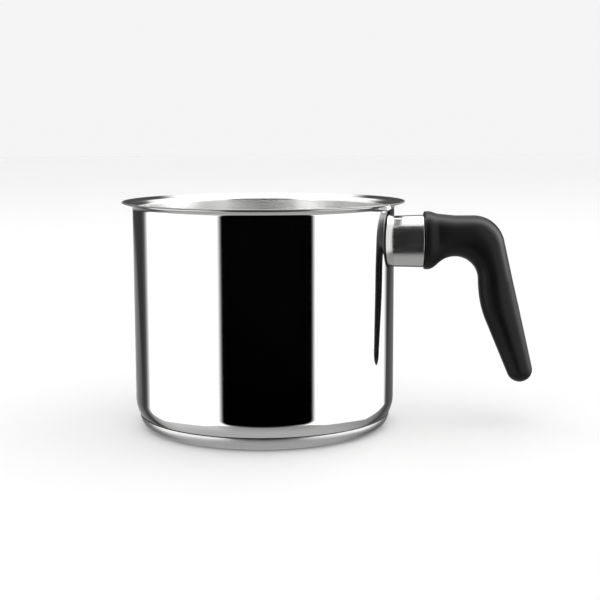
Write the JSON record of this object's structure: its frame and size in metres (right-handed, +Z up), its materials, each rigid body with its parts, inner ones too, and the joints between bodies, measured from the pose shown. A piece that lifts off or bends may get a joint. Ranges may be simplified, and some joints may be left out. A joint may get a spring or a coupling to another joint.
{
  "type": "candle melting pot",
  "caption": "Tall straight-sided polished stainless melting pot with a flared pouring rim, a capsule base and a black drop grip behind an oval flame guard.",
  "frame": {"origin": "centre of the flat face that the pot stands on, on the pot's axis", "axes": "+Z up the pot's axis towards the open rim, +X out through the grip"},
  "size_m": [0.2251, 0.1532, 0.1229],
  "materials": {
    "shell_steel": "mirror-polished stainless steel outside, satin inside",
    "base_steel": "polished stainless steel side with a turned underside",
    "guard_steel": "polished stainless steel",
    "fixing_steel": "plain stainless steel",
    "core_aluminium": "as rolled",
    "insert_brass": "turned",
    "grip_phenolic": "satin black moulded phenolic"
  },
  "bodies": {
    "root": {"pot_shell": "shell_steel", "base_core": "core_aluminium", "base_cap": "base_steel", "saddle_plate": "fixing_steel", "handle_stud": "fixing_steel", "flame_guard": "guard_steel", "lock_washer": "fixing_steel", "grip_insert": "insert_brass", "grip": "grip_phenolic"}
  },
  "joints": []
}
